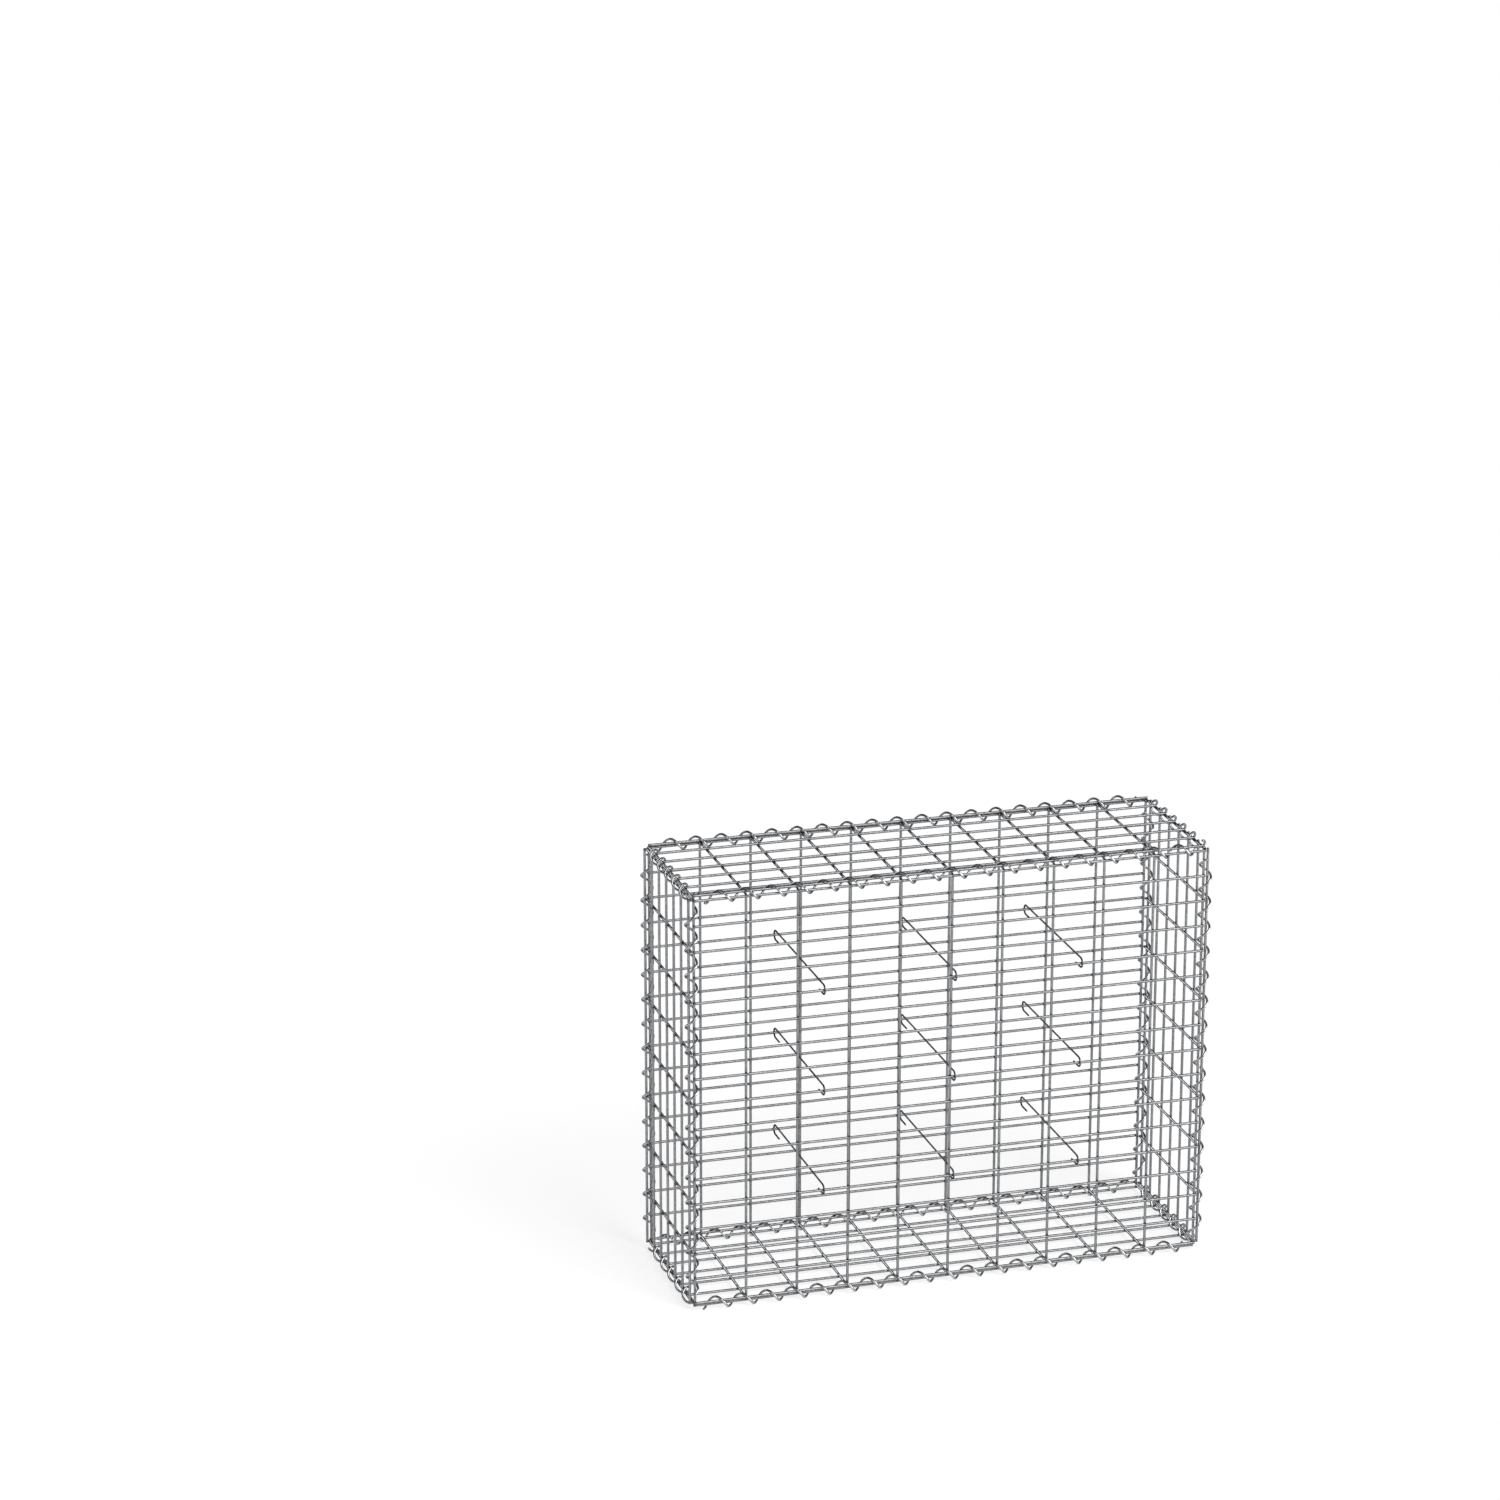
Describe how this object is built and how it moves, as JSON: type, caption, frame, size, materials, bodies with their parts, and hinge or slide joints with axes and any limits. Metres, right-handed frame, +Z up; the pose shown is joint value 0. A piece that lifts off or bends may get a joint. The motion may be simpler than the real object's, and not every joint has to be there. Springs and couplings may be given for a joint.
{
  "type": "gabion basket",
  "caption": "Empty oblong gabion basket of welded wire mesh, standing on its long edge, with spiral binders along its edges and hooked cross ties inside.",
  "frame": {"origin": "on the floor, under the middle of the basket", "axes": "+X along the basket's length, +Y through its depth from the front panel to the back one, +Z up"},
  "size_m": [1.0368, 0.3358, 0.8359],
  "materials": {
    "mesh_wire": "galvanised, satin",
    "binder_wire": "galvanised, bright",
    "tie_wire": "galvanised, dull"
  },
  "bodies": {
    "root": {"front_panel": "mesh_wire", "back_panel": "mesh_wire", "left_panel": "mesh_wire", "right_panel": "mesh_wire", "lid_panel": "mesh_wire", "base_panel": "mesh_wire", "binder_top_front": "binder_wire", "binder_top_back": "binder_wire", "binder_top_left": "binder_wire", "binder_top_right": "binder_wire", "binder_base_front": "binder_wire", "binder_base_back": "binder_wire", "binder_base_left": "binder_wire", "binder_base_right": "binder_wire", "binder_front_left": "binder_wire", "binder_front_right": "binder_wire", "binder_back_left": "binder_wire", "binder_back_right": "binder_wire", "tie_left_low": "tie_wire", "tie_left_mid": "tie_wire", "tie_left_high": "tie_wire", "tie_middle_low": "tie_wire", "tie_middle_mid": "tie_wire", "tie_middle_high": "tie_wire", "tie_right_low": "tie_wire", "tie_right_mid": "tie_wire", "tie_right_high": "tie_wire"}
  },
  "joints": []
}
